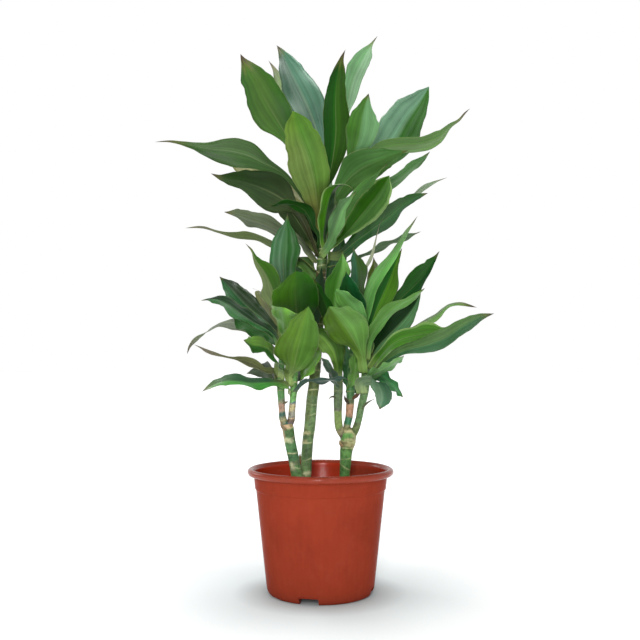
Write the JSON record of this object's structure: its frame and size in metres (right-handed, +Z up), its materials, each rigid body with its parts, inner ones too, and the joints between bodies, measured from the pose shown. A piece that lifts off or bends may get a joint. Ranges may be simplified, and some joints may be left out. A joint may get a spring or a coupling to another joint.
{
  "type": "potted corn plant",
  "caption": "Corn plant with three leafy canes growing in soil in a round terracotta coloured nursery pot, standing on its flat base.",
  "frame": {"origin": "middle of the flat underside of the pot", "axes": "+Z up, +Y away from the pictured front, +X to the right of that view"},
  "size_m": [0.4393, 0.3724, 0.7895],
  "materials": {
    "pot": "satin",
    "soil": "crumbly matt",
    "cane": "ringed bark, matt",
    "leaf_green": "waxy leaf",
    "leaf_dark": "waxy leaf",
    "leaf_pale": "waxy leaf"
  },
  "bodies": {
    "root": {"nursery_pot": "pot", "potting_soil": "soil", "cane_left": "cane", "cane_middle": "cane", "cane_right": "cane", "leaf_head_01": "leaf_green", "leaf_head_02": "leaf_pale", "leaf_head_03": "leaf_pale", "leaf_head_04": "leaf_dark", "leaf_head_05": "leaf_pale", "leaf_head_06": "leaf_pale", "leaf_head_07": "leaf_pale", "leaf_head_09": "leaf_pale", "leaf_head_10": "leaf_dark", "leaf_head_11": "leaf_green", "leaf_head_12": "leaf_pale", "leaf_head_13": "leaf_dark", "leaf_head_14": "leaf_dark", "leaf_head_15": "leaf_pale", "leaf_head_16": "leaf_green", "leaf_head_17": "leaf_dark", "leaf_head_18": "leaf_pale", "leaf_head_19": "leaf_green", "leaf_head_21": "leaf_dark", "leaf_head_22": "leaf_dark", "leaf_head_23": "leaf_green", "leaf_head_24": "leaf_green", "leaf_head_25": "leaf_green", "leaf_left_01": "leaf_pale", "leaf_left_02": "leaf_green", "leaf_left_03": "leaf_green", "leaf_left_07": "leaf_green", "leaf_left_08": "leaf_dark", "leaf_left_09": "leaf_pale", "leaf_left_10": "leaf_green", "leaf_left_11": "leaf_green", "leaf_left_13": "leaf_dark", "leaf_left_14": "leaf_pale", "leaf_left_15": "leaf_pale", "leaf_left_16": "leaf_pale", "leaf_right_01": "leaf_green", "leaf_right_02": "leaf_green", "leaf_right_03": "leaf_pale", "leaf_right_04": "leaf_dark", "leaf_right_05": "leaf_pale", "leaf_right_06": "leaf_dark", "leaf_right_07": "leaf_green", "leaf_right_10": "leaf_pale", "leaf_right_11": "leaf_green", "leaf_right_12": "leaf_dark", "leaf_right_15": "leaf_pale", "leaf_right_16": "leaf_green", "leaf_right_17": "leaf_green", "leaf_right_18": "leaf_green", "leaf_right_19": "leaf_green", "leaf_right_21": "leaf_green", "leaf_right_22": "leaf_green", "leaf_right_24": "leaf_green", "leaf_right_25": "leaf_dark", "leaf_head_26": "leaf_dark"}
  },
  "joints": []
}
